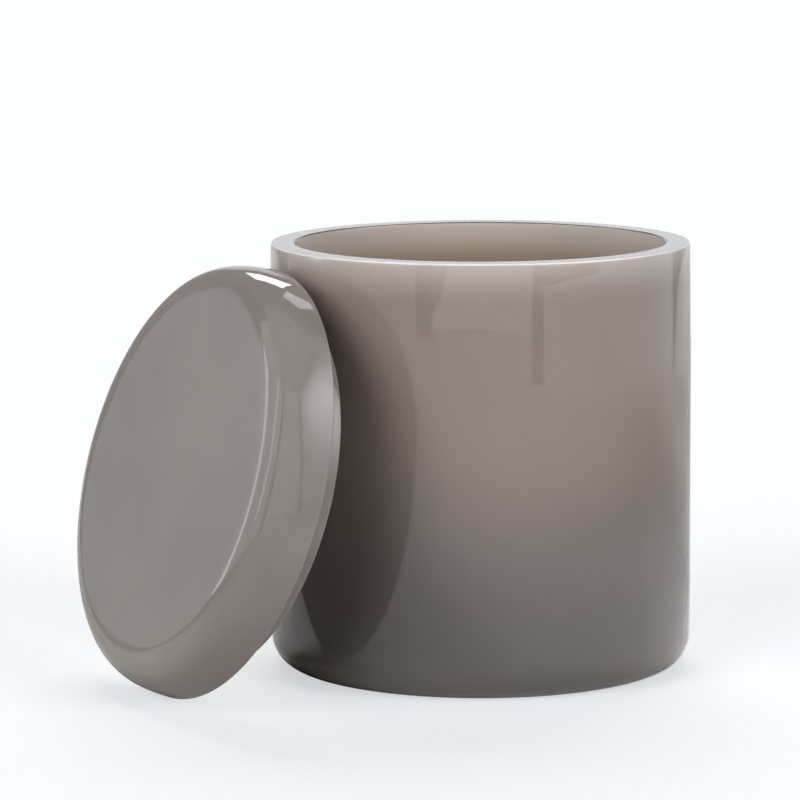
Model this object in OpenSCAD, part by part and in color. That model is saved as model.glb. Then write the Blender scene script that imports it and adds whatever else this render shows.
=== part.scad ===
// Round lidded pot: a thick-walled cylinder with a ground flat rim and a
// rounded base, and a thick bun-edged lid with a plug that fits the mouth.
// The lid is stored off the pot, standing on its edge and leaning on the wall.
// The origin is the centre of the pot's flat base, with +Z up.

/* [Pot] */
// Outside diameter of the pot
pot_d = 90; // [60:0.5:120]
// Height of the pot to the top of the rim
pot_h = 91.3; // [60:0.1:130]
// Diameter of the mouth and the straight bore below it
mouth_d = 79; // [50:0.5:80]
// Thickness of the floor inside
floor_t = 7; // [4:0.5:12]
// Radius that rounds the wall into the base
base_round = 6.8; // [2:0.1:12]
// Radius that rounds the bore into the floor inside
cavity_round = 6; // [2:0.5:12]
// How far the wall draws in at the rim, on the radius
rim_draw = 0.25; // [0:0.05:1]
// Height of the stretch below the rim that draws in
rim_draw_h = 36; // [10:1:50]

/* [Lid] */
// Outside diameter of the lid at its lower edge
lid_d = 91.8; // [60:0.1:122]
// Thickness of the lid above the rim
lid_t = 12.6; // [6:0.1:20]
// Diameter of the flat face on top
face_d = 74; // [40:0.5:80]
// Fullness of the rounded side: 2 is an ellipse, more is squarer
side_power = 2.6; // [1.5:0.1:4]
// How much the side flattens towards the axis, as a share of the height
side_lean = 0.09; // [0:0.01:0.2]
// Height of the plug below the rim
plug_h = 5.7; // [3:0.1:10]
// Clearance on the radius between the plug and the bore
plug_gap = 0.4; // [0.2:0.05:1]

/* [Lid at rest] */
// Angle between the leaning lid and the vertical
lean_angle = 16.7; // [5:0.1:30]
// Direction round the pot in which the lid lies, from +X
lean_side = 208.7; // [0:0.1:360]
// Gap kept between the plug's edge and the pot's wall
lean_gap = 0.1; // [0:0.05:1]

/* [Edges] */
// Width of the fine bevel on every ground edge
edge = 0.35; // [0.1:0.05:1]

/* [Hidden] */
$fn = 180;
ROUND_STEPS = 12;
SIDE_STEPS = 28;

pot_r = pot_d / 2;
mouth_r = mouth_d / 2;
lid_r = lid_d / 2;
face_r = face_d / 2;
plug_r = mouth_r - plug_gap;
draw_z = pot_h - rim_draw_h;

// Where the lid's lower face lies when its edge stands on the ground and the
// plug's edge meets the wall, out from the pot's axis and up from the ground
lean_out = pot_r + lean_gap + plug_h * cos(lean_angle) + (plug_r - edge) * sin(lean_angle);
lean_up = lid_r * cos(lean_angle) - edge * sin(lean_angle);

// Quarter round from angle a0 to a1 about (x, y)
function arc(x, y, r, a0, a1) = [
    for (i = [0 : ROUND_STEPS])
        let (a = a0 + (a1 - a0) * i / ROUND_STEPS)
        [x + r * cos(a), y + r * sin(a)]
];

// Wall that draws in smoothly, more and more towards the rim
function drawn_wall() = [
    for (i = [0 : ROUND_STEPS])
        let (s = i / ROUND_STEPS)
        [pot_r - rim_draw * s * s, draw_z + s * (rim_draw_h - edge)]
];

// Rounded side of the lid, from the flat face down to its lower edge
function lid_side() = [
    for (i = [0 : SIDE_STEPS])
        let (
            a = 90 * i / SIDE_STEPS,
            h = (lid_t - edge) * pow(cos(a), 2 / side_power),
            bulge = (lid_r - face_r) * pow(sin(a), 2 / side_power)
        )
        [face_r + bulge - side_lean * h * (1 - h / (lid_t - edge)), edge + h]
];

module pot_outline() {
    polygon(concat(
        [[0, 0]],
        arc(pot_r - base_round, base_round, base_round, -90, 0),
        drawn_wall(),
        [
            [pot_r - rim_draw - edge, pot_h],
            [mouth_r + edge, pot_h],
            [mouth_r, pot_h - edge]
        ],
        arc(mouth_r - cavity_round, floor_t + cavity_round, cavity_round, 0, -90),
        [[0, floor_t]]
    ));
}

module lid_outline() {
    polygon(concat(
        [[0, lid_t]],
        lid_side(),
        [
            [lid_r - edge, 0],
            [plug_r, 0],
            [plug_r, edge - plug_h],
            [plug_r - edge, -plug_h],
            [0, -plug_h]
        ]
    ));
}

// Open-topped vessel with one even wall
module pot() {
    color([0.56, 0.52, 0.50])
    rotate_extrude()
    pot_outline();
}

// Solid lid, standing on its edge with its face turned outwards
module lid() {
    color([0.57, 0.54, 0.52])
    rotate([0, 0, lean_side])
    translate([lean_out, 0, lean_up])
    rotate([0, 90 - lean_angle, 0])
    rotate_extrude()
    lid_outline();
}

pot();
lid();
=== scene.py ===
"""Looks for a round lidded pot: polished resin pieces on a white studio table."""

import math

import bpy
from bpy.props import FloatProperty, FloatVectorProperty, PointerProperty
from mathutils import Matrix, Vector


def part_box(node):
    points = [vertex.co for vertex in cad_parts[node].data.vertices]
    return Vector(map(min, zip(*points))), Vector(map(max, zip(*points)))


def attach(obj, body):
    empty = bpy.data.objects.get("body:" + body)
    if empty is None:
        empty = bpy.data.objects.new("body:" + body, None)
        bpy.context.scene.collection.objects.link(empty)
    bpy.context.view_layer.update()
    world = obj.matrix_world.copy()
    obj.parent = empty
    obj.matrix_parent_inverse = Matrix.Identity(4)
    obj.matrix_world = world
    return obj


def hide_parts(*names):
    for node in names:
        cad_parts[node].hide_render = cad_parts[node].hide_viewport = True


bl_info = {
    "name": "Lidded Resin Pot",
    "version": (1, 0, 0),
    "blender": (4, 5, 0),
    "location": "View3D > Sidebar > Pot",
    "description": "Builds a round lidded pot in polished cast resin",
    "category": "Add Mesh",
}

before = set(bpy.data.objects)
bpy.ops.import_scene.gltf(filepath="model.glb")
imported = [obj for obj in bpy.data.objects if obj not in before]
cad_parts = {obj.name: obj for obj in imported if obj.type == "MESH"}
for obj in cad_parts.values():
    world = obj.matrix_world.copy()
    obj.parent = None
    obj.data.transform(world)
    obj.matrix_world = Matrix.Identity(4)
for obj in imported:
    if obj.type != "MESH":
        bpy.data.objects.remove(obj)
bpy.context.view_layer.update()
POT_LOW, POT_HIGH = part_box("pot")
LID_LOW, LID_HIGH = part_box("lid")

# Turned pieces: faces and rings, then distances in metres
TURN_STEPS = 224  # faces round each piece
WALL_STATIONS = 7  # rings in the stretch of wall that draws in
SIDE_STATIONS = 40  # rings in the lid's rounded side
CORNER_STEPS = 5  # faces across a fine rounded edge
BASE_STEPS = 14  # faces across the rounds at the pot's base and floor
HOLD = 0.0004  # from a rounded corner to the ring that holds it
MERGE_DISTANCE = 1e-6
FIT_TOLERANCE = 0.0003

# Tints of the pot, as shares of its height between which each one comes in. Most are painted light: shade
# towards the base, glow at the rim and in the bore, a reflection on the rim's top and lines along its
# edges
BODY_FROM, BODY_TO = 0.13, 0.62
RIM_FROM, RIM_TO = 0.90, 1.05
BORE_FROM, BORE_TO = 0.2, 0.9
BORE_RIM_FROM, BORE_RIM_TO = 0.895, 1.01
RIM_TOP_FROM, RIM_TOP_TO = 0.994, 0.998
RIM_HIGHLIGHT_FROM, RIM_HIGHLIGHT_TO = 0.9962, 0.9972
MOUTH_REFLECTION_FROM, MOUTH_REFLECTION_TO = 0.9972, 0.9982
PAINTED_LINE_WIDTH = 0.0003  # width of the painted lines along the rim's edges, a highlight outside and a dark reflection round the mouth, in metres

# Clouds in the resin and smudges on its polish
CLOUD = {"Scale": 22.0, "Detail": 3.0, "Roughness": 0.5}
CLOUD_FROM, CLOUD_TO = 0.3, 0.7
CLOUD_SHADE = 0.86  # brightness of the lid's darker clouds
CLOUD_DRIFT = 0.12  # how far clouds shift the pot's tints, as a share of its height
RIM_SHARE = 0.2  # share of that drift in the rim's tint
SMUDGE_FROM, SMUDGE_TO = 0.45, 0.75
SMUDGE = 0.01  # roughness that the heaviest smudges add

# Table: its place, its paint in soft light, its paint and glow for the camera, and its tones in the
# polish, with painted light and shade
TABLE_TOP, TABLE_HALF = -1e-4, 4.0
TABLE_TONE = 0.70
TABLE_SEEN, TABLE_GLOW = 0.42, 0.61
TABLE_BRIGHT, TABLE_NEAR, TABLE_FAR, TABLE_EDGE = 0.85, 0.6, 0.25, 0.35
TABLE_SHADE, TABLE_LID_SHADE = 0.57, 0.12

# Surround: its brightness for the camera, and in the polish between the tent's walls
WHITE = (1.0, 1.0, 1.0)
BACKDROP = 1.1
DARK_AIR = 0.3

# Soft lights: name, place that it shines from, spread in degrees and strength
LIGHT_TARGET = (-0.02, -0.01, 0.045)
LIGHTS = (
    ("back_light", (0.0, 0.7, 0.7), 50, 2.1),
    ("left_light", (-0.58, -0.69, 0.42), 45, 2.0),
    ("right_light", (0.73, -0.53, 0.37), 32, 1.62),
)

# Tent walls: name, degrees from the front at the start and end, low and high edge, and brightness
COOL = (0.97, 0.99, 1.02)
CARD = 0.15  # brightness of a dark card
WALL_STEP = 6  # degrees between the columns of a wall
HUNG = 0.01  # distance of a hung sheet in front of the walls
WALLS = (
    ("left_base", -60, -104, 0.0, 0.02, CARD),
    ("left_paper", -33.5, -104, 0.045, 0.95, 1.5),
    ("back_wall", 163, 197, 0.0, 0.30, 0.9),
    ("front_gap_left", -33.5, -24.5, 0.018, 0.7, CARD),
    ("front_gap_right", 27.5, 30.5, 0.018, 0.95, CARD),
)
HUNG_SHEETS = (
    ("left_slit", -92, -101, 0.05, 0.36, 3.8),
    ("corner_slit", -53, -60, 0.12, 0.75, 3.5),
    ("right_line", 30.5, 64, 0.037, 0.045, CARD),
    ("right_foot", 26.5, 33, 0.0, 0.036, CARD),
    ("back_lamp", 174, 196, 0.40, 0.56, 7.0),
    ("back_paper", 154, 171, 0.58, 0.80, 2.4),
)
# Walls with a round patch that is brighter: (degrees, height, reach, added brightness)
GLOWING_WALLS = (
    ("front_wall", -24.5, 27.5, 0.022, 0.95, 1.3, (0, 0.95, 0.35, 0.9)),
    ("left_wall", -104, -123, 0.036, 0.30, 0.72, (-101, 0.17, 0.21, 0.9)),
    ("right_wall", 30.5, 123, 0.0, 0.95, 1.1, (70, 0.54, 0.5, 4.6)),
)
# Thin fold across the front wall: (degrees, height) of its bends
FOLD_BENDS = (
    (-24.5, 0.03), (-17, 0.04), (-10, 0.055), (-3, 0.085), (4, 0.105),
    (10, 0.125), (16, 0.14), (20, 0.10), (24, 0.06), (27.5, 0.045),
)
FOLD_WIDTH, FOLD_TONE = 0.009, 0.3
# Gap on each side, behind the side walls: (degrees, low edge) of its columns
GAP_COLUMNS = ((123.5, 0.018), (130, 0.047), (144, 0.057))
GAP_TOP, GAP_DISTANCE = 0.3, 0.35
ROOF_HEIGHT, ROOF_HALF, ROOF_BACK, ROOF_TONE = 0.9, 0.5, 0.28, 0.9

# Camera: sensor in millimetres, clipping in metres
SENSOR_WIDTH = 36.0
CLIP_NEAR, CLIP_FAR = 0.01, 20.0


# ---------------------------------------------------------------- node helpers


class Value:
    """A socket that adds Math nodes to its tree when it is used in an expression."""

    def __init__(self, net, socket):
        self.net = net
        self.socket = socket

    def maths(self, operation, *others):
        return self.net.node("ShaderNodeMath", {"operation": operation}, [self, *others])

    def reflected(self, operation, other):
        return self.net.node("ShaderNodeMath", {"operation": operation}, [other, self])

    def __add__(self, other):
        return self.maths("ADD", other)

    def __radd__(self, other):
        return self.reflected("ADD", other)

    def __sub__(self, other):
        return self.maths("SUBTRACT", other)

    def __rsub__(self, other):
        return self.reflected("SUBTRACT", other)

    def __mul__(self, other):
        return self.maths("MULTIPLY", other)

    def __rmul__(self, other):
        return self.reflected("MULTIPLY", other)

    def __truediv__(self, other):
        return self.maths("DIVIDE", other)

    def __rtruediv__(self, other):
        return self.reflected("DIVIDE", other)

    def __pow__(self, other):
        return self.maths("POWER", other)


class Net:
    """A node tree that is written as Python calls."""

    def __init__(self, tree):
        self.tree = tree

    def node(self, kind, settings=None, values=(), output=0):
        """Adds one node: its settings first, then its sockets by order or by name."""
        made = self.tree.nodes.new(kind)
        for name, value in (settings or {}).items():
            setattr(made, name, value)
        pairs = values.items() if isinstance(values, dict) else enumerate(values)
        for key, value in pairs:
            socket = made.inputs[key]
            if isinstance(value, Value):
                self.tree.links.new(value.socket, socket)
            else:
                socket.default_value = value
        return Value(self, made.outputs[output])

    def point(self, x, y):
        return self.node("ShaderNodeCombineXYZ", values=[x, y, 0.0])

    def part_of(self, vector, axis):
        return self.node("ShaderNodeSeparateXYZ", values=[vector], output=axis)

    def measure(self, operation, *vectors):
        """A number worked out from vectors, such as a length or a distance."""
        return self.node("ShaderNodeVectorMath", {"operation": operation}, vectors, output="Value")


# ------------------------------------------------------------ turned geometry


def group_inputs(tree, sizes):
    """Adds a named input for each size, and the geometry output."""
    for name, value in sizes.items():
        socket = tree.interface.new_socket(name, in_out="INPUT", socket_type="NodeSocketFloat")
        socket.default_value = value
    tree.interface.new_socket("Material", in_out="INPUT", socket_type="NodeSocketMaterial")
    tree.interface.new_socket("Geometry", in_out="OUTPUT", socket_type="NodeSocketGeometry")
    source = tree.nodes.new("NodeGroupInput")
    net = Net(tree)
    return net, {socket.name: Value(net, socket) for socket in source.outputs if socket.name}


def pick(net, index, kind, items):
    """One of the items, chosen by the index."""
    chooser = net.tree.nodes.new("GeometryNodeIndexSwitch")
    chooser.data_type = kind
    while len(chooser.index_switch_items) < len(items):
        chooser.index_switch_items.new()
    net.tree.links.new(index.socket, chooser.inputs["Index"])
    for place, item in enumerate(items):
        socket = chooser.inputs[place + 1]
        if isinstance(item, Value):
            net.tree.links.new(item.socket, socket)
        else:
            socket.default_value = item
    return Value(net, chooser.outputs[0])


def turn_outline(net, material, before, station, stations, after):
    """Turns an outline round the Z axis.

    before and after are lists of (x, z, rounding, steps) corners. Between them,
    station(t) gives the (x, z) of a smooth stretch as t goes from 0 to 1.
    """
    first = len(before)
    index = net.node("GeometryNodeInputIndex")
    last = first + stations - 1
    t = net.node("ShaderNodeClamp", values=[(index - first) / (stations - 1), 0.0, 1.0])
    stretch = station(t)
    corner = index.maths("MINIMUM", first) + (index - last).maths("MAXIMUM", 0)
    rows = [*before, (*stretch, 0.0, 1), *after]
    spots = pick(net, corner, "VECTOR", [net.point(x, z) for x, z, _, _ in rows])
    rounding = pick(net, corner, "FLOAT", [row[2] for row in rows])
    steps = pick(net, corner, "INT", [row[3] for row in rows])

    line = net.node("GeometryNodeMeshLine", values={"Count": len(rows) - 1 + stations})
    line = net.node("GeometryNodeSetPosition", values={"Geometry": line, "Position": spots})
    outline = net.node("GeometryNodeMeshToCurve", values=[line])
    outline = net.node(
        "GeometryNodeFilletCurve",
        {"mode": "POLY"},
        {"Curve": outline, "Count": steps, "Radius": rounding, "Limit Radius": True},
    )
    path = net.node("GeometryNodeCurvePrimitiveCircle", values={"Resolution": TURN_STEPS, "Radius": 1.0})
    inward = net.node(
        "GeometryNodeTransform", values={"Geometry": outline, "Translation": (-1.0, 0.0, 0.0)}
    )
    solid = net.node("GeometryNodeCurveToMesh", values={"Curve": path, "Profile Curve": inward})
    solid = net.node(
        "GeometryNodeTransform", values={"Geometry": solid, "Rotation": (math.pi, 0.0, 0.0)}
    )
    solid = net.node("GeometryNodeMergeByDistance", values={"Geometry": solid, "Distance": MERGE_DISTANCE})
    solid = net.node("GeometryNodeSetShadeSmooth", values={"Geometry": solid})
    solid = net.node("GeometryNodeRealizeInstances", values=[solid])
    return net.node("GeometryNodeSetMaterial", values={"Geometry": solid, "Material": material})


def finish_tree(net, geometry):
    """Joins the finished geometry to the tree's output."""
    output = net.tree.nodes.new("NodeGroupOutput")
    net.tree.links.new(geometry.socket, output.inputs[0])


def mesh_from(name, tree, sizes, material):
    """Runs the tree on an empty mesh and keeps the result as a plain mesh object."""
    holder = bpy.data.objects.new(name + "_holder", bpy.data.meshes.new(name + "_holder"))
    bpy.context.scene.collection.objects.link(holder)
    modifier = holder.modifiers.new("Turned", "NODES")
    modifier.node_group = tree
    for item in tree.interface.items_tree:
        if item.in_out == "INPUT":
            modifier[item.identifier] = material if item.name == "Material" else sizes[item.name]
    graph = bpy.context.evaluated_depsgraph_get()
    mesh = bpy.data.meshes.new_from_object(holder.evaluated_get(graph))
    holder.modifiers.remove(modifier)
    bpy.data.objects.remove(holder)
    mesh.name = name
    piece = bpy.data.objects.new(name, mesh)
    bpy.context.scene.collection.objects.link(piece)
    return piece


# ------------------------------------------------------------------ settings


class PotSizes(bpy.types.PropertyGroup):
    radius: FloatProperty(
        name="Radius",
        description="Outside radius of the pot",
        default=(POT_HIGH.x - POT_LOW.x) / 2,
        unit="LENGTH",
    )
    height: FloatProperty(
        name="Height",
        description="Height of the pot to the top of its rim",
        default=POT_HIGH.z - POT_LOW.z,
        unit="LENGTH",
    )
    mouth: FloatProperty(
        name="Mouth Radius", description="Radius of the bore", default=0.0395, unit="LENGTH"
    )
    floor: FloatProperty(
        name="Floor", description="Thickness of the floor inside", default=0.007, unit="LENGTH"
    )
    base_round: FloatProperty(
        name="Base Round",
        description="Radius that rounds the wall into the base",
        default=0.0068,
        unit="LENGTH",
    )
    cavity_round: FloatProperty(
        name="Cavity Round",
        description="Radius that rounds the bore into the floor inside",
        default=0.006,
        unit="LENGTH",
    )
    rim_draw: FloatProperty(
        name="Rim Draw", description="How far the wall draws in at the rim", default=0.00025, unit="LENGTH"
    )
    rim_draw_height: FloatProperty(
        name="Rim Draw Height",
        description="Height of the stretch that draws in",
        default=0.036,
        unit="LENGTH",
    )
    edge: FloatProperty(
        name="Edge", description="Rounding of the ground rim edges", default=0.00042, unit="LENGTH"
    )


class LidSizes(bpy.types.PropertyGroup):
    radius: FloatProperty(
        name="Radius", description="Outside radius of the lid", default=0.0459, unit="LENGTH"
    )
    thickness: FloatProperty(
        name="Thickness", description="Thickness above the rim", default=0.0126, unit="LENGTH"
    )
    face: FloatProperty(
        name="Face Radius", description="Radius of the flat face", default=0.037, unit="LENGTH"
    )
    eased: FloatProperty(
        name="Eased Radius",
        description="Radius at which the face starts to ease towards the side",
        default=0.0353,
        unit="LENGTH",
    )
    ease: FloatProperty(
        name="Ease", description="How far the face eases down", default=0.000035, unit="LENGTH"
    )
    side_power: FloatProperty(
        name="Side Fullness", description="2 is an ellipse, more is squarer", default=2.6
    )
    side_lean: FloatProperty(
        name="Side Lean", description="How much the side flattens towards the axis", default=0.09
    )
    plug: FloatProperty(
        name="Plug Radius", description="Radius of the plug", default=0.0391, unit="LENGTH"
    )
    plug_height: FloatProperty(
        name="Plug Height", description="Height of the plug", default=0.0057, unit="LENGTH"
    )
    edge: FloatProperty(
        name="Edge", description="Width of the fine bevels", default=0.00035, unit="LENGTH"
    )
    lean: FloatProperty(
        name="Lean",
        description="Angle between the leaning lid and the vertical",
        default=math.radians(16.7),
        subtype="ANGLE",
    )
    side: FloatProperty(
        name="Side",
        description="Direction round the pot in which the lid lies",
        default=math.radians(208.7),
        subtype="ANGLE",
    )
    gap: FloatProperty(
        name="Gap", description="Gap between the plug's edge and the wall", default=0.0001, unit="LENGTH"
    )


class ResinFinish(bpy.types.PropertyGroup):
    body: FloatVectorProperty(
        name="Body", description="Colour of the pot's wall", subtype="COLOR", default=(0.305, 0.256, 0.226)
    )
    # Painted glow: the rim's lighter colour stands in for light that soaks into the resin there
    rim: FloatVectorProperty(
        name="Rim",
        description="Colour where light soaks in at the rim",
        subtype="COLOR",
        default=(0.62, 0.57, 0.53),
    )
    # Painted light: the bore's lighter, warmer colour stands in for light from behind shining through the
    # wall
    inside: FloatVectorProperty(
        name="Inside",
        description="Colour of the bore, which light from behind shines through",
        subtype="COLOR",
        default=(0.36, 0.285, 0.225),
    )
    # Painted shade: the thick base is darker and cooler, where less light comes through the resin
    deep: FloatVectorProperty(
        name="Deep",
        description="Colour in the thick base",
        subtype="COLOR",
        default=(0.140, 0.124, 0.125),
    )
    # Painted reflection: the rim's flat top is a pale grey that stands for the white surroundings mirrored
    # in it
    rim_top: FloatVectorProperty(
        name="Rim Top",
        description="Colour of the flat ground top of the rim",
        subtype="COLOR",
        default=(0.40, 0.385, 0.38),
    )
    # Painted reflection: a dark line round the mouth, where the inner bevel mirrors the dark bore
    mirrored_mouth_line: FloatVectorProperty(
        name="Dark Edge",
        description="Colour of the ground line round the mouth",
        subtype="COLOR",
        default=(0.08, 0.07, 0.065),
    )
    # Painted highlight: a bright line along the rim's outer edge
    rim_highlight_line: FloatVectorProperty(
        name="Light Edge",
        description="Colour of the ground line round the outside of the rim",
        subtype="COLOR",
        default=(0.8, 0.8, 0.82),
    )
    lid: FloatVectorProperty(
        name="Lid", description="Colour of the lid", subtype="COLOR", default=(0.292, 0.258, 0.237)
    )
    soak: FloatProperty(
        name="Soak", description="How deep light soaks into the resin", default=0.0015, unit="LENGTH"
    )
    roughness: FloatProperty(
        name="Roughness", description="Roughness of the polish", default=0.008, min=0, max=1
    )


class StudioSizes(bpy.types.PropertyGroup):
    camera_distance: FloatProperty(
        name="Camera Distance", description="From the pot's axis", default=0.9637, unit="LENGTH"
    )
    camera_height: FloatProperty(
        name="Camera Height", description="Above the table", default=0.1945, unit="LENGTH"
    )
    lens: FloatProperty(name="Lens", description="Focal length in millimetres", default=204.3)
    tilt: FloatProperty(
        name="Tilt", description="Camera tilt down", default=math.radians(8.116), subtype="ANGLE"
    )
    turn: FloatProperty(
        name="Turn", description="Camera turn to the left", default=math.radians(1.025), subtype="ANGLE"
    )
    roll: FloatProperty(
        name="Roll", description="Camera roll", default=math.radians(0.217), subtype="ANGLE"
    )
    daylight: FloatProperty(name="Daylight", description="Brightness of the even light", default=0.05)
    tent: FloatProperty(
        name="Tent", description="Distance of the tent's walls from the pot", default=0.56, unit="LENGTH"
    )


# ----------------------------------------------------------------- materials


def smooth_between(net, value, low, high):
    """0 below low, 1 above high, and a smooth rise between them."""
    return net.node(
        "ShaderNodeMapRange",
        {"interpolation_type": "SMOOTHSTEP"},
        {"Value": value, "From Min": low, "From Max": high},
    )


def smooth_below(net, value, low, high):
    """1 below low, 0 above high, and a smooth fall between them."""
    return 1.0 - smooth_between(net, value, low, high)


def mix_colour(net, share, first, second):
    """A Mix node on colours: first where share is 0, second where it is 1."""
    made = net.tree.nodes.new("ShaderNodeMix")
    made.data_type = "RGBA"
    pairs = (("Factor_Float", share), ("A_Color", first), ("B_Color", second))
    sockets = {socket.identifier: socket for socket in made.inputs}
    for identifier, value in pairs:
        if isinstance(value, Value):
            net.tree.links.new(value.socket, sockets[identifier])
        elif isinstance(value, float):
            sockets[identifier].default_value = value
        else:
            sockets[identifier].default_value = (*value, 1.0)
    result = next(socket for socket in made.outputs if socket.identifier == "Result_Color")
    return Value(net, result)


def emit(net, strength):
    """A shader of faintly cool light."""
    return net.node("ShaderNodeEmission", values={"Color": (*COOL, 1.0), "Strength": strength})


def surface(net, shader):
    """Joins the shader to the material's output."""
    output = net.tree.nodes.new("ShaderNodeOutputMaterial")
    net.tree.links.new(shader.socket, output.inputs["Surface"])


def new_material(name):
    """An empty material and the net that fills it."""
    material = bpy.data.materials.new(name)
    material.use_nodes = True
    material.node_tree.nodes.clear()
    return material, Net(material.node_tree)


def polish(net, place, colour, finish):
    """Glossy translucent resin with a trace of smudges and waves in its polish."""
    smudge = net.node("ShaderNodeTexNoise", values={"Vector": place, "Scale": 60.0, "Detail": 2.0})
    roughness = smooth_between(net, smudge, SMUDGE_FROM, SMUDGE_TO) * SMUDGE + finish.roughness
    wave = net.node("ShaderNodeTexNoise", values={"Vector": place, "Scale": 35.0, "Detail": 1.0})
    bump = net.node("ShaderNodeBump", values={"Strength": 0.03, "Distance": 0.0006, "Height": wave})
    shader = net.node(
        "ShaderNodeBsdfPrincipled",
        {"subsurface_method": "RANDOM_WALK"},
        {
            "Base Color": colour,
            "Roughness": roughness,
            "IOR": 1.5,
            "Subsurface Weight": 1.0,
            "Subsurface Radius": (1.0, 0.85, 0.75),
            "Subsurface Scale": finish.soak,
            "Normal": bump,
        },
    )
    surface(net, shader)


def clouds(net, place):
    """Slow cloudiness through the resin."""
    return net.node("ShaderNodeTexNoise", values={"Vector": place, **CLOUD})


def pot_resin(finish, sizes):
    """Resin with painted light: a glow at the rim and in the bore, shade towards the thick base, a
    reflection on the rim's top and lines along its edges.
    """
    material, net = new_material("Taupe Resin Pot")
    place = net.node("ShaderNodeTexCoord", output="Object")
    z = net.part_of(place, "Z") / sizes.height
    flat = net.node("ShaderNodeVectorMath", {"operation": "MULTIPLY"}, [place, (1.0, 1.0, 0.0)])
    out = net.measure("LENGTH", flat)
    drift = (clouds(net, place) - 0.5) * CLOUD_DRIFT
    body, rim, inside, deep, rim_top, mirrored_mouth_line, rim_highlight_line = (
        tuple(getattr(finish, name))
        for name in ("body", "rim", "inside", "deep", "rim_top", "mirrored_mouth_line", "rim_highlight_line")
    )
    # Painted shade: the wall darkens from its body colour towards the thick base
    wall = mix_colour(net, smooth_between(net, z + drift, BODY_FROM, BODY_TO), deep, body)
    # Painted glow where light soaks in at the rim
    wall = mix_colour(net, smooth_between(net, z + drift * RIM_SHARE, RIM_FROM, RIM_TO), wall, rim)
    in_bore = smooth_below(net, out, sizes.mouth, sizes.mouth + sizes.edge)
    # Painted light in the bore, lighter towards the top, then the rim's painted glow
    bore = mix_colour(net, smooth_between(net, z, BORE_FROM, BORE_TO), body, inside)
    bore = mix_colour(net, smooth_between(net, z, BORE_RIM_FROM, BORE_RIM_TO), bore, rim)
    colour = mix_colour(net, in_bore, wall, bore)
    # Painted reflection of the white surroundings on the rim's flat top
    colour = mix_colour(net, smooth_between(net, z, RIM_TOP_FROM, RIM_TOP_TO), colour, rim_top)
    # Painted reflection: a dark line round the mouth
    inner = sizes.mouth + PAINTED_LINE_WIDTH
    line = smooth_between(net, z, MOUTH_REFLECTION_FROM, MOUTH_REFLECTION_TO)
    line = line * smooth_below(net, out, inner, inner + PAINTED_LINE_WIDTH)
    colour = mix_colour(net, line, colour, mirrored_mouth_line)
    # Painted highlight: a bright line round the outside of the rim
    outer = sizes.radius - 2 * PAINTED_LINE_WIDTH
    line = smooth_between(net, z, RIM_HIGHLIGHT_FROM, RIM_HIGHLIGHT_TO)
    line = line * smooth_between(net, out, outer, outer + PAINTED_LINE_WIDTH / 3)
    polish(net, place, mix_colour(net, line, colour, rim_highlight_line), finish)
    return material


def lid_resin(finish):
    """Resin of one tone, faintly clouded."""
    material, net = new_material("Taupe Resin Lid")
    place = net.node("ShaderNodeTexCoord", output="Object")
    tone = tuple(finish.lid)
    darker = tuple(CLOUD_SHADE * channel for channel in tone)
    clouded = smooth_between(net, clouds(net, place), CLOUD_FROM, CLOUD_TO)
    polish(net, place, mix_colour(net, clouded, tone, darker), finish)
    return material


def table_paint():
    """White paint that looks clean from above; in the polish it shows painted light and shade, patches
    that stand for the tent's light and shade on the table.

    The numbers are the soft borders of patches on the table, in metres from the pot's axis.
    """
    material, net = new_material("White Table")
    place = net.node("ShaderNodeTexCoord", output="Object")
    x, y = net.part_of(place, "X"), net.part_of(place, "Y")
    out = net.measure("LENGTH", place)

    # On the right, painted light and shade: bright just in front of the pot, shaded in a ring beside it,
    # dimmer far behind
    right = smooth_between(net, x, -0.06, 0.06)
    near = smooth_below(net, out, 0.10, 0.28) * smooth_below(net, y, 0.0, 0.12)
    ring = smooth_between(net, out, 0.16, 0.32) * smooth_below(net, out, 0.36, 0.60)
    beside = smooth_between(net, y, -0.22, 0.02) * smooth_below(net, y, 0.08, 0.26)
    far = smooth_between(net, y, 0.12, 0.35)
    right_shade = near * TABLE_NEAR - ring * beside * TABLE_SHADE - far * TABLE_FAR
    # Painted light: a brighter patch towards the far right edge
    foot = smooth_between(net, out, 0.42, 0.56) * smooth_between(net, x, 0.15, 0.40)
    lit = TABLE_BRIGHT + foot * TABLE_EDGE + right * right_shade

    # Painted shade between the leaning lid and the pot; it stays where it is when the lid lifts
    lidded = smooth_below(net, x, -0.05, -0.02) * smooth_between(net, y, -0.07, -0.03)
    lid_shade = lidded * smooth_below(net, y, -0.016, -0.004) * smooth_below(net, out, 0.06, 0.09)
    mirrored_tone = lit - lid_shade * (lit - TABLE_LID_SHADE)

    camera = net.node("ShaderNodeLightPath", output="Is Camera Ray")
    glossy = net.node("ShaderNodeLightPath", output="Is Glossy Ray")
    tone = camera * (TABLE_SEEN - TABLE_TONE) + glossy * (mirrored_tone - TABLE_TONE) + TABLE_TONE
    grey = net.node("ShaderNodeCombineColor", values=[tone, tone, tone])
    paint = net.node("ShaderNodeBsdfDiffuse", values={"Color": grey})
    surface(net, net.node("ShaderNodeAddShader", values=[paint, emit(net, camera * TABLE_GLOW)]))
    return material


# ------------------------------------------------------------------- placing


def leaning(sizes, pot_radius):
    """Stands the lid on its lower edge, with the plug's edge against the pot's wall."""
    cos, sin = math.cos(sizes.lean), math.sin(sizes.lean)
    out = pot_radius + sizes.gap + sizes.plug_height * cos + (sizes.plug - sizes.edge) * sin
    up = sizes.radius * cos - sizes.edge * sin
    return (
        Matrix.Rotation(sizes.side, 4, "Z")
        @ Matrix.Translation((out, 0.0, up))
        @ Matrix.Rotation(math.pi / 2 - sizes.lean, 4, "Y")
    )


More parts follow.
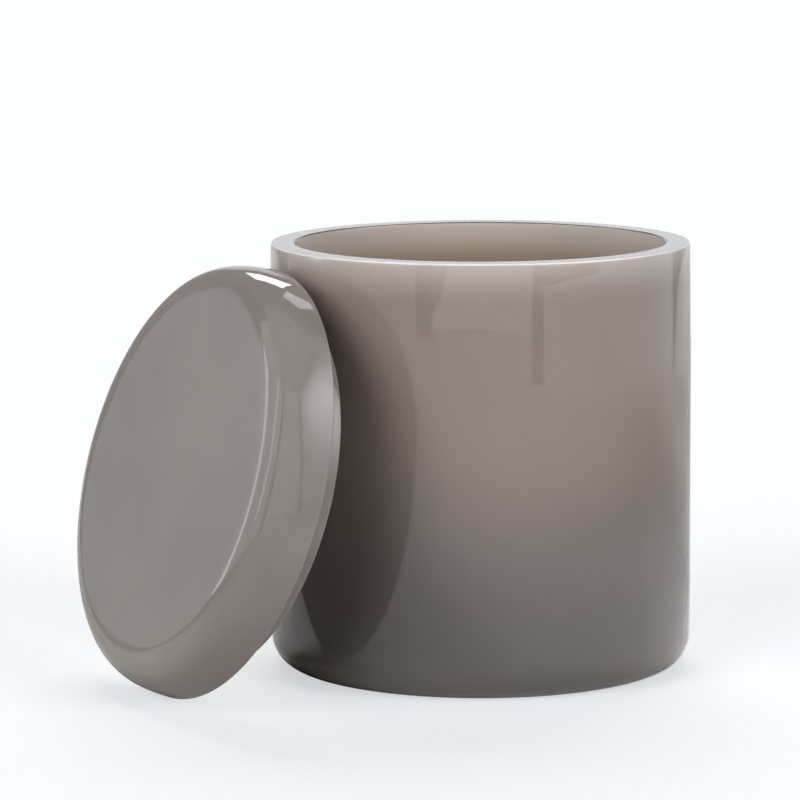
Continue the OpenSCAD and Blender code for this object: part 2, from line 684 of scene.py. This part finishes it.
def check_fit(piece, low, high):
    """Raises an error if the piece doesn't fill the box of the part it stands for."""
    corners = [Vector(corner) for corner in piece.bound_box]
    for axis in range(3):
        places = [corner[axis] for corner in corners]
        misfit = max(abs(min(places) - low[axis]), abs(max(places) - high[axis]))
        if misfit > FIT_TOLERANCE:
            raise RuntimeError(f"{piece.name} misses its part's box by {misfit} m along axis {axis}")


# -------------------------------------------------------------------- studio


def soft_sun(name, place, spread, strength):
    """Soft light from one side that casts pale shadows, and isn't mirrored in the polish."""
    data = bpy.data.lights.new(name, "SUN")
    data.angle = math.radians(spread)
    data.energy = strength
    light = bpy.data.objects.new(name, data)
    light.location = place
    light.rotation_mode = "QUATERNION"
    light.rotation_quaternion = (Vector(LIGHT_TARGET) - Vector(place)).to_track_quat("-Z", "Y")
    light.visible_glossy = False
    bpy.context.scene.collection.objects.link(light)


def level_sheet(half, back, height):
    """Corners and face of a level sheet: its half width, how far back it reaches and its height."""
    corners = [(-half, -half, height), (half, -half, height), (half, back, height), (-half, back, height)]
    return corners, [(0, 1, 2, 3)]


def stage_sheet(name, corners, faces, material):
    """Adds a flat or curved sheet to the stage."""
    mesh = bpy.data.meshes.new(name)
    mesh.from_pydata(corners, [], faces)
    mesh.materials.append(material)
    sheet = bpy.data.objects.new(name, mesh)
    bpy.context.scene.collection.objects.link(sheet)
    return sheet


def mirrored(name, corners, faces, material):
    """Adds a sheet that is only seen mirrored in the polish."""
    sheet = stage_sheet(name, corners, faces, material)
    sheet.visible_camera = sheet.visible_diffuse = sheet.visible_shadow = False
    sheet.visible_transmission = sheet.visible_volume_scatter = False


def tent_spot(degrees, distance, height):
    """The place at an angle from the front, a distance from the pot's axis and a height."""
    turn = math.radians(degrees)
    return distance * math.sin(turn), -distance * math.cos(turn), height


def tent_wall(name, columns, distance, tone, glow=None):
    """A curved upright wall round the pot. Each column is (degrees from the front, low, high).

    glow is (degrees, height, reach, peak): a round patch that is brighter towards its middle.
    """
    corners = []
    for degrees, low, high in columns:
        corners += [tent_spot(degrees, distance, low), tent_spot(degrees, distance, high)]
    faces = [(2 * i, 2 * i + 2, 2 * i + 3, 2 * i + 1) for i in range(len(columns) - 1)]
    material, net = new_material(name)
    if glow:
        degrees, height, reach, peak = glow
        place = net.node("ShaderNodeTexCoord", output="Object")
        away = net.measure("DISTANCE", place, tent_spot(degrees, distance, height))
        tone = smooth_below(net, away, 0.0, reach) * peak + tone
    surface(net, emit(net, tone))
    mirrored(name, corners, faces, material)


def span(start, end, low, high):
    """Columns of an even wall from one angle to another."""
    steps = max(1, round(abs(end - start) / WALL_STEP))
    return [(start + (end - start) * i / steps, low, high) for i in range(steps + 1)]


def light_tent(distance):
    """Hangs the walls, sheets, gaps and roof that the polish mirrors."""
    for name, start, end, low, high, tone in WALLS:
        tent_wall(name, span(start, end, low, high), distance, tone)
    for name, start, end, low, high, tone in HUNG_SHEETS:
        tent_wall(name, span(start, end, low, high), distance - HUNG, tone)
    for name, start, end, low, high, tone, glow in GLOWING_WALLS:
        tent_wall(name, span(start, end, low, high), distance, tone, glow)
    fold = [(degrees, low, low + FOLD_WIDTH) for degrees, low in FOLD_BENDS]
    tent_wall("front_fold", fold, distance - HUNG, FOLD_TONE)
    for side in (-1, 1):
        gap = [(side * degrees, low, GAP_TOP) for degrees, low in GAP_COLUMNS]
        tent_wall(f"back_gap_{side}", gap, GAP_DISTANCE, DARK_AIR)
    roof, net = new_material("tent_roof")
    surface(net, emit(net, ROOF_TONE))
    mirrored("tent_roof", *level_sheet(ROOF_HALF, ROOF_BACK, ROOF_HEIGHT), roof)


def surround(scene, daylight):
    """Even light on everything, white for the camera and dark in the polish."""
    world = bpy.data.worlds.new("White Surround")
    world.use_nodes = True
    world.node_tree.nodes.clear()
    net = Net(world.node_tree)
    camera = net.node("ShaderNodeLightPath", output="Is Camera Ray")
    glossy = net.node("ShaderNodeLightPath", output="Is Glossy Ray")
    strength = camera * (BACKDROP - daylight) + glossy * (DARK_AIR - daylight) + daylight
    light = {"Color": (*WHITE, 1.0), "Strength": strength}
    background = net.node("ShaderNodeBackground", values=light)
    output = net.tree.nodes.new("ShaderNodeOutputWorld")
    net.tree.links.new(background.socket, output.inputs["Surface"])
    scene.world = world


def studio_camera(scene, studio):
    """Sets the camera in front of the pot, a little above it."""
    data = bpy.data.cameras.new("camera")
    data.sensor_width = SENSOR_WIDTH
    data.lens = studio.lens
    data.clip_start, data.clip_end = CLIP_NEAR, CLIP_FAR
    camera = bpy.data.objects.new("camera", data)
    camera.matrix_world = (
        Matrix.Translation((0.0, -studio.camera_distance, studio.camera_height))
        @ Matrix.Rotation(studio.turn, 4, "Z")
        @ Matrix.Rotation(math.pi / 2 - studio.tilt, 4, "X")
        @ Matrix.Rotation(-studio.roll, 4, "Z")
    )
    scene.collection.objects.link(camera)
    scene.camera = camera


# ----------------------------------------------------------------- operators


class LIDDEDPOT_OT_pot(bpy.types.Operator):
    """Turns the pot and gives it its polish"""

    bl_idname = "lidded_pot.pot"
    bl_label = "Make Pot"

    def execute(self, context):
        sizes = context.scene.pot_sizes
        tree = bpy.data.node_groups.new("Turned Pot", "GeometryNodeTree")
        names = {
            "Radius": sizes.radius,
            "Height": sizes.height,
            "Mouth": sizes.mouth,
            "Floor": sizes.floor,
            "Base Round": sizes.base_round,
            "Cavity Round": sizes.cavity_round,
            "Rim Draw": sizes.rim_draw,
            "Rim Draw Height": sizes.rim_draw_height,
            "Edge": sizes.edge,
        }
        net, given = group_inputs(tree, names)
        radius, height, mouth, floor = (given[n] for n in ("Radius", "Height", "Mouth", "Floor"))
        base, cavity, edge = (given[n] for n in ("Base Round", "Cavity Round", "Edge"))
        draw, draw_height = given["Rim Draw"], given["Rim Draw Height"]
        rim = radius - draw
        before = [
            (0.0, 0.0, 0.0, 1),
            (radius - base - HOLD, 0.0, 0.0, 1),
            (radius, 0.0, base, BASE_STEPS),
            (radius, base + HOLD, 0.0, 1),
        ]

        def wall(t):
            return radius - draw * t * t, height - draw_height + t * (draw_height - edge - HOLD)

        after = [
            (rim, height, edge, CORNER_STEPS),
            (rim - edge - HOLD, height, 0.0, 1),
            (mouth + edge + HOLD, height, 0.0, 1),
            (mouth, height, edge, CORNER_STEPS),
            (mouth, height - edge - HOLD, 0.0, 1),
            (mouth, floor + cavity + HOLD, 0.0, 1),
            (mouth, floor, cavity, BASE_STEPS),
            (mouth - cavity - HOLD, floor, 0.0, 1),
            (0.0, floor, 0.0, 1),
        ]
        finish_tree(net, turn_outline(net, given["Material"], before, wall, WALL_STATIONS, after))
        material = pot_resin(context.scene.resin_finish, sizes)
        piece = mesh_from("turned_pot", tree, names, material)
        check_fit(piece, POT_LOW, POT_HIGH)
        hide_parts("pot")
        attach(piece, "pot")
        return {"FINISHED"}


class LIDDEDPOT_OT_lid(bpy.types.Operator):
    """Turns the lid, stands it on its edge against the pot and gives it its polish"""

    bl_idname = "lidded_pot.lid"
    bl_label = "Make Lid"

    def execute(self, context):
        sizes = context.scene.lid_sizes
        tree = bpy.data.node_groups.new("Turned Lid", "GeometryNodeTree")
        names = {
            "Radius": sizes.radius,
            "Thickness": sizes.thickness,
            "Face": sizes.face,
            "Eased Radius": sizes.eased,
            "Ease": sizes.ease,
            "Side Fullness": sizes.side_power,
            "Side Lean": sizes.side_lean,
            "Plug": sizes.plug,
            "Plug Height": sizes.plug_height,
            "Edge": sizes.edge,
        }
        net, given = group_inputs(tree, names)
        radius, thickness, face, edge = (given[n] for n in ("Radius", "Thickness", "Face", "Edge"))
        plug, plug_height = given["Plug"], given["Plug Height"]
        eased, ease = given["Eased Radius"], given["Ease"]
        rise = thickness - ease - edge
        power = 2.0 / given["Side Fullness"]

        def side(t):
            angle = t * (math.pi / 2)
            up = rise * (angle.maths("COSINE").maths("MAXIMUM", 0.0) ** power)
            out = (radius - face) * (angle.maths("SINE") ** power)
            return face + out - given["Side Lean"] * up * (1.0 - up / rise), edge + up

        before = [(0.0, thickness, 0.0, 1), (eased - HOLD, thickness, 0.0, 1), (eased, thickness, 0.0, 1)]
        after = [
            (radius, 0.0, edge, CORNER_STEPS),
            (radius - edge - HOLD, 0.0, 0.0, 1),
            (plug, 0.0, edge, CORNER_STEPS),
            (plug, 0.0 - edge - HOLD, 0.0, 1),
            (plug, edge + HOLD - plug_height, 0.0, 1),
            (plug, 0.0 - plug_height, edge, CORNER_STEPS),
            (plug - edge - HOLD, 0.0 - plug_height, 0.0, 1),
            (0.0, 0.0 - plug_height, 0.0, 1),
        ]
        finish_tree(net, turn_outline(net, given["Material"], before, side, SIDE_STATIONS, after))
        material = lid_resin(context.scene.resin_finish)
        piece = mesh_from("turned_lid", tree, names, material)
        piece.data.transform(leaning(sizes, context.scene.pot_sizes.radius))
        check_fit(piece, LID_LOW, LID_HIGH)
        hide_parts("lid")
        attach(piece, "lid")
        return {"FINISHED"}


class LIDDEDPOT_OT_studio(bpy.types.Operator):
    """Sets the white table, the soft lights, the mirrored light tent and the camera"""

    bl_idname = "lidded_pot.studio"
    bl_label = "Make Studio"

    def execute(self, context):
        scene = context.scene
        studio = scene.studio_sizes
        stage_sheet("table", *level_sheet(TABLE_HALF, TABLE_HALF, TABLE_TOP), table_paint())
        surround(scene, studio.daylight)
        scene.view_settings.view_transform = "Standard"
        for light in LIGHTS:
            soft_sun(*light)
        light_tent(studio.tent)
        studio_camera(scene, studio)
        return {"FINISHED"}


class LIDDEDPOT_PT_panel(bpy.types.Panel):
    """Lists the pieces and the studio with their sizes"""

    bl_label = "Lidded Pot"
    bl_idname = "LIDDEDPOT_PT_panel"
    bl_space_type = "VIEW_3D"
    bl_region_type = "UI"
    bl_category = "Pot"

    def draw(self, context):
        groups = (
            (LIDDEDPOT_OT_pot, context.scene.pot_sizes),
            (LIDDEDPOT_OT_lid, context.scene.lid_sizes),
            (None, context.scene.resin_finish),
            (LIDDEDPOT_OT_studio, context.scene.studio_sizes),
        )
        for operator, group in groups:
            box = self.layout.box()
            for name in group.__annotations__:
                box.prop(group, name)
            if operator:
                box.operator(operator.bl_idname)


SETTINGS = {
    "pot_sizes": PotSizes,
    "lid_sizes": LidSizes,
    "resin_finish": ResinFinish,
    "studio_sizes": StudioSizes,
}
OPERATORS = (LIDDEDPOT_OT_pot, LIDDEDPOT_OT_lid, LIDDEDPOT_OT_studio)


def register():
    for made in (*SETTINGS.values(), *OPERATORS, LIDDEDPOT_PT_panel):
        bpy.utils.register_class(made)
    for name, group in SETTINGS.items():
        setattr(bpy.types.Scene, name, PointerProperty(type=group))


def unregister():
    for name in SETTINGS:
        delattr(bpy.types.Scene, name)
    for made in (LIDDEDPOT_PT_panel, *reversed(OPERATORS), *reversed(SETTINGS.values())):
        bpy.utils.unregister_class(made)


def main():
    register()
    bpy.ops.lidded_pot.pot()
    bpy.ops.lidded_pot.lid()
    bpy.ops.lidded_pot.studio()


if __name__ == "__main__":
    main()
